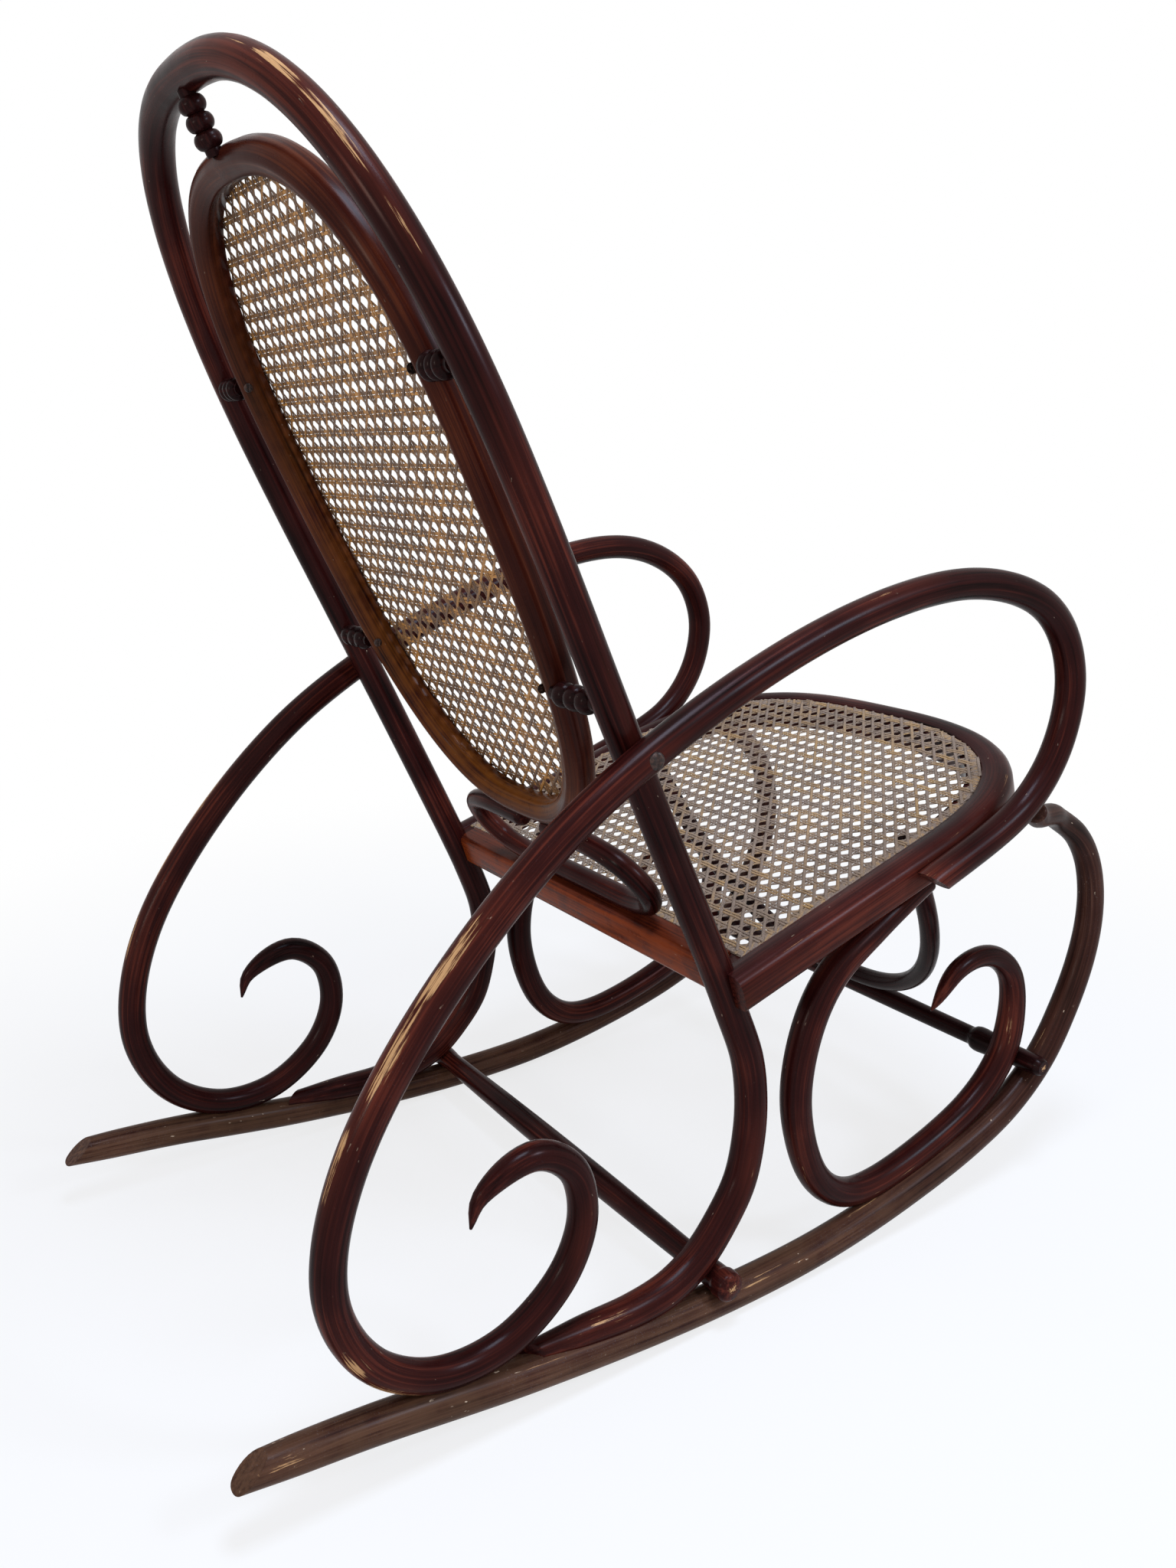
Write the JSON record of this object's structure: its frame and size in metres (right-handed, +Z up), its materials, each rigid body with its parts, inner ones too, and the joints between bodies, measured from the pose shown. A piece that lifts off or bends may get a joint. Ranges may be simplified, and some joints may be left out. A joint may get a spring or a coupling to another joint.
{
  "type": "bentwood rocking chair",
  "caption": "Rocking chair of steam-bent wood rods with scrolled arms, curled rockers, an oval caned back and a caned seat.",
  "frame": {"origin": "centre of the bounding box's bottom, on the floor between the rockers", "axes": "+Z up; the sitter faces -Y; the chair is alike on both sides of x = 0, and +X is the sitter's left"},
  "size_m": [0.577, 0.9492, 1.0195],
  "materials": {
    "wood": "semi-gloss dark reddish-brown stain, worn golden on the edges",
    "dark_wood": "semi-gloss near-black brown stain",
    "cane": "matt woven cane, darkened with age",
    "steel": "dull and darkened"
  },
  "bodies": {
    "root": {"runner_left": "wood", "runner_right": "wood", "front_scroll_left": "wood", "front_scroll_right": "wood", "arm_left": "wood", "arm_right": "wood", "back_hoop": "wood", "back_frame": "wood", "back_cane": "cane", "seat_rail": "wood", "seat_rear_rail": "wood", "seat_cane": "cane", "seat_dowel_left": "wood", "seat_dowel_right": "wood", "rear_bow": "wood", "front_bow": "dark_wood", "rear_stretcher": "wood", "front_stretcher": "dark_wood", "top_spindle": "dark_wood", "upper_spacer_left": "dark_wood", "upper_spacer_right": "dark_wood", "lower_spacer_left": "dark_wood", "lower_spacer_right": "dark_wood", "arm_bolt_left": "steel", "arm_bolt_right": "steel", "arm_screw_left": "steel", "arm_screw_right": "steel", "runner_end_screw_left": "steel", "runner_end_screw_right": "steel", "scroll_screw_left": "steel", "scroll_screw_right": "steel", "rear_stretcher_screw_left": "steel", "rear_stretcher_screw_right": "steel", "front_stretcher_screw_left": "steel", "front_stretcher_screw_right": "steel", "arm_rest_screw_left": "steel", "arm_rest_screw_right": "steel", "leg_rest_screw_left": "steel", "leg_rest_screw_right": "steel", "scroll_rest_screw_left": "steel", "scroll_rest_screw_right": "steel", "rear_bow_screw_left": "steel", "rear_bow_screw_right": "steel", "rear_bow_tip_screw_left": "steel", "rear_bow_tip_screw_right": "steel", "upper_spacer_screw_left": "steel", "upper_spacer_screw_right": "steel", "lower_spacer_screw_left": "steel", "lower_spacer_screw_right": "steel", "front_bow_screw": "steel"}
  },
  "joints": []
}
